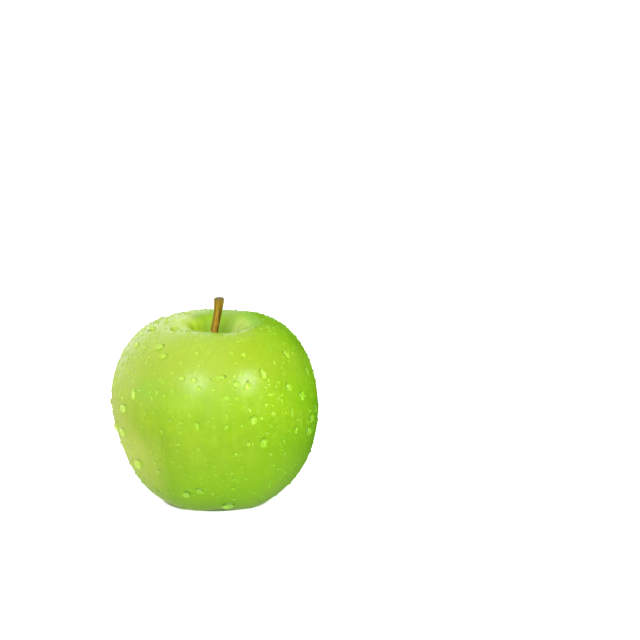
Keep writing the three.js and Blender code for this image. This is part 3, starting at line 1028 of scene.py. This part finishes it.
def makeWaterFinish(name):
    finish = Finish(
        "water in " + name, water, IOR=1.333, Transmission_Weight=0.95, Specular_IOR_Level=0.25,
        Emission_Strength=water["gleamShare"][name],
    )
    zone = water["zone"]
    place = finish.place()
    x, _, z = finish.parts(place)
    ripple = finish.noise(place, water["rippleScale"], detail=1.0)
    rise, fall = finish.written("rise"), finish.written("fall")
    fromLeft = x.between(*zone["leftAlong"])

    # Painted shade: the skin is tinted darker through the steep side of a bead, most of all uphill, away from
    # the light, and beads on the right are tinted dimmer.
    tone = finish.mix(ripple, water["clear"], water["clearer"])
    tone = finish.lay(tone, x.between(*zone["dimAlong"]), "dimmer")
    side = rise.between(0.6, 0.1) * (1.0 - fall * 0.6) * (1.0 - fromLeft * 0.4)
    tone = finish.mix(side * water["sideShare"][name], tone, water["side"])

    # Painted light: a bead glows from its downhill side, standing in for the light that it gathers, and low
    # and left beads glow all over.
    allOver = z.between(*zone["lowUp"]) * 0.8 + fromLeft * 0.8
    downhill = fall.between(0.0, 0.8) * z.between(*zone["glowUp"]) * 0.4
    glow = rise.between(0.25, 0.6) * (downhill + allOver)
    gleam = finish.mix(glow, black, water["gleam"])
    relief = finish.bump(ripple, water["ripple"], 0.3)
    blur = water["blur"] + ripple * 0.03
    return finish.feed(Base_Color=tone, Emission_Color=gleam, Roughness=blur, Normal=relief)


makeWater(cameraAxes[2])


# The table, with a painted contact shadow where the fruit's foot meets it.
table = {
    "size": 12,
    "greys": (rgb(228, 228, 228), rgb(232, 232, 232)),
    "grain": 4.0,  # how many grey clouds to the metre
    "glow": 0.72,  # how far it is brighter than it is lit
    # the colour of the painted contact shadow
    "dark": rgb(120, 104, 124),
    "cover": {"dark": 0.6},
    "foot": 17.7 * mm,  # radius of the painted contact shadow
    "wider": 1.3 * mm,  # added to that at the sides, which begin and end this far from the middle line
    "widerFrom": 6.3 * mm,
    "widerTo": 14.1 * mm,
    "soft": 2.2 * mm,
}


def makeTable():
    onlySelect()
    bpy.ops.mesh.primitive_plane_add(size=table["size"], location=(0, 0, 0))
    floor = bpy.context.object
    floor.name = "floor"
    finish = Finish("white table", table, Specular_IOR_Level=0.0, Emission_Strength=table["glow"])
    place = finish.place()
    x, y, _ = finish.parts(place)
    grain = finish.noise(place, table["grain"])
    sides = (x * x).between(table["widerFrom"] ** 2, table["widerTo"] ** 2)
    reach = table["foot"] + sides * table["wider"]
    under = ((x * x + y * y) ** 0.5 - reach).between(table["soft"], 0.0)
    tone = finish.mix(grain, *table["greys"])
    tone = finish.lay(tone, under, "dark")
    glow = finish.mix(under, white, black)
    gloss = 0.9 - grain * 0.1
    floor.data.materials.append(finish.feed(Base_Color=tone, Emission_Color=glow, Roughness=gloss))
    floor.visible_diffuse = False  # the light that it would throw back comes from the room instead
    floor.visible_glossy = False
    floor.visible_transmission = False


# A green card behind the fruit's right shoulder, seen only as a reflection in the skin.
card = {
    "left": 5 * mm,
    "soft": 9 * mm,  # how far in from its left edge it is see-through
    "wide": 110 * mm,
    "low": 25 * mm,
    "tall": 110 * mm,
    "behind": 60 * mm,
    "colour": (0.19, 0.3, 0.01, 1),
    "glow": 1.2,
}


def makeCard():
    onlySelect()
    middle = (card["left"] + card["wide"] / 2, card["behind"], card["low"] + card["tall"] / 2)
    bpy.ops.mesh.primitive_plane_add(size=1, location=middle, rotation=(math.pi / 2, 0, 0))
    piece = bpy.context.object
    piece.name = "green_card"
    piece.scale = (card["wide"], card["tall"], 1)
    bpy.ops.object.transform_apply(location=True, rotation=True, scale=True)
    finish = Finish(
        "green card", card, Specular_IOR_Level=0.0, Base_Color=black, Roughness=1.0,
        Emission_Color=card["colour"], Emission_Strength=card["glow"],
    )
    x, _, _ = finish.parts(finish.place())
    edge = x.between(card["left"], card["left"] + card["soft"])
    piece.data.materials.append(finish.feed(Alpha=edge))
    for ray in ("camera", "diffuse", "transmission", "volume_scatter", "shadow"):
        setattr(piece, "visible_" + ray, False)


# The lamps and the white room round them.
light = {
    # Each lamp's way from the fruit, across, up and towards the camera, and its watts.
    "lamps": {
        "left": ((-0.282, 0.319, 0.905), 7),
        "right": ((0.588, 0.311, 0.747), 7),
        "fill": ((0.75, -0.1, 0.65), 8),  # only lifts the shadows, and isn't reflected
    },
    "distance": 1.3,
    "size": 0.52,
    "room": 1.3,
    "behind": 0.45,  # added to the room's light on the far left
    "dimLeft": 0.25,  # taken off on the left
    "above": 0.1,  # added high on the far side
    "ground": 0.4,  # share of the light that comes back from below
    "groundLeft": 0.26,  # added to that on the left
    "groundTint": (0.95, 1.0, 0.6, 1),
    "shady": (0.1, 0.3, 0.03, 1),  # the room on the right, which neighbouring fruit and leaves fill
    # Where each part of the room sets in and where it is full, going by the direction that one looks in.
    "zone": {
        "shadyAlong": (0.1, 0.6), "shadyUp": (-0.75, -0.3), "behindAlong": (0.3, 1.0),
        "behindUp": (-0.1, 0.15), "groundUp": (0.05, -0.2), "groundLeft": (0.2, -0.6),
        "dimLeft": (-0.5, -0.9), "aboveFar": (0.75, 0.93), "aboveUp": (0.24, 0.34),
    },
}


def makeLamps(right, up, toward):
    for name, ((across, rise, near), watts) in light["lamps"].items():
        direction = (right * across + up * rise - toward * near).normalized()
        data = bpy.data.lights.new("softbox " + name, "AREA")
        data.shape = "DISK"
        data.size = light["size"]
        data.energy = watts
        lamp = linkNew("softbox " + name, data)
        lamp.location = view["aim"] + direction * light["distance"]
        lamp.rotation_euler = (-direction).to_track_quat("-Z", "Y").to_euler()
        lamp.visible_glossy = name != "fill"


def makeRoom():
    world = bpy.data.worlds.new("white room")
    bpy.context.scene.world = world
    world.use_nodes = True
    room = Nodes(world.node_tree)
    zone = light["zone"]
    x, y, z = room.parts(room.node("ShaderNodeTexCoord", give="Generated"))
    shady = (x * 1.6 + y * 0.3).between(*zone["shadyAlong"]) * z.between(*zone["shadyUp"])
    behind = (y - x * 0.6).between(*zone["behindAlong"]) * z.between(*zone["behindUp"])
    above = y.between(*zone["aboveFar"]) * z.between(*zone["aboveUp"])
    dimLeft = x.between(*zone["dimLeft"])
    below = z.between(*zone["groundUp"])
    ground = light["ground"] + x.between(*zone["groundLeft"]) * light["groundLeft"]
    strength = (1.0 + behind * light["behind"]) * (1.0 - below * (1.0 - ground)) * light["room"]
    strength = strength * (1.0 - dimLeft * light["dimLeft"]) * (1.0 + above * light["above"])
    tint = room.mix(below, white, light["groundTint"])
    sky = world.node_tree.nodes["Background"]
    plug(room.tree, room.mix(shady, tint, light["shady"]), sky.inputs["Color"])
    plug(room.tree, strength, sky.inputs["Strength"])


makeTable()
makeCard()
makeLamps(*cameraAxes)
makeRoom()
bpy.context.scene.view_settings.view_transform = "Standard"
print("table, light and camera are in place")
